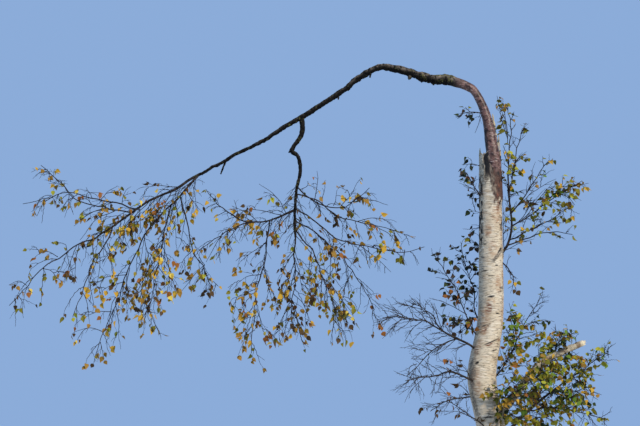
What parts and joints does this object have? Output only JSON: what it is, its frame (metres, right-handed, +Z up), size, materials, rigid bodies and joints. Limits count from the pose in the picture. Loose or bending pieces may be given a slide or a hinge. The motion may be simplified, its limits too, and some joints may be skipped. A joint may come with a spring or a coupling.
{
  "type": "paper birch tree",
  "caption": "Storm-broken birch: white trunk with a splintered top, a living leader arching far out and weeping, autumn leaves, dead twigs and a broken dead bough.",
  "frame": {"origin": "middle of the flat cut under the trunk, at ground level", "axes": "+Z up along the trunk, +X away from the arch, which reaches along -X; seen in the picture from -Y"},
  "size_m": [5.3273, 1.0803, 4.4447],
  "materials": {
    "bark_white": "cream-white peeling bark with fine dark lenticels, tan and pink patches and grey-black crust",
    "leader_bark": "smooth red-brown young bark with pale lenticels",
    "arch_bark": "dark grey-brown rough bark with knots and olive lichen",
    "bough_bark": "dark brown bark of thin boughs",
    "dead_wood": "bleached dead bark with a pale splintered end",
    "weeping_leaves": "thin gold, ochre and olive autumn leaves on dark fine twigs",
    "side_leaves": "yellow-green autumn leaves on brown twigs",
    "dark_leaves": "dark green leaves on dark twigs",
    "bare_twigs": "dead bare grey-brown twigs",
    "bush_leaves": "dense yellow-green, olive and orange leaves"
  },
  "bodies": {
    "root": {"trunk": "bark_white", "leader_rise": "leader_bark", "leader_arch": "arch_bark", "leader_fall": "arch_bark", "outer_bough": "bough_bark", "hanging_bough": "arch_bark", "lower_outer_bough": "bough_bark", "left_bough": "bough_bark", "side_bough": "bough_bark", "bare_bough": "bough_bark", "low_bare_bough": "bough_bark", "broken_bough": "dead_wood", "bush_bough": "bough_bark", "outer_upper": "weeping_leaves", "outer_side": "weeping_leaves", "outer_main": "weeping_leaves", "outer_droop": "weeping_leaves", "outer_low": "weeping_leaves", "outer_mid": "weeping_leaves", "outer_inner": "weeping_leaves", "left_tip": "weeping_leaves", "left_out": "weeping_leaves", "left_droop": "weeping_leaves", "right_top": "weeping_leaves", "right_mid": "weeping_leaves", "right_low": "weeping_leaves", "low_right": "weeping_leaves", "low_mid": "weeping_leaves", "low_centre": "weeping_leaves", "side_top": "side_leaves", "side_top_right": "side_leaves", "side_right_high": "side_leaves", "side_right": "side_leaves", "side_right_low": "side_leaves", "side_twig": "side_leaves", "side_low": "side_leaves", "snag_shoot_high": "dark_leaves", "snag_shoot_low": "dark_leaves", "dark_shoot_outer": "dark_leaves", "dark_shoot_inner": "dark_leaves", "bare_out": "bare_twigs", "bare_up": "bare_twigs", "bare_down": "bare_twigs", "low_bare_out": "bare_twigs", "low_leafy": "bare_twigs", "lowest_bare": "bare_twigs", "bush_top": "bush_leaves", "bush_upper": "bush_leaves", "bush_right": "bush_leaves", "bush_mid": "bush_leaves", "bush_low": "bush_leaves", "bush_near": "bush_leaves", "bush_back": "bush_leaves", "bush_foot": "bush_leaves"}
  },
  "joints": []
}
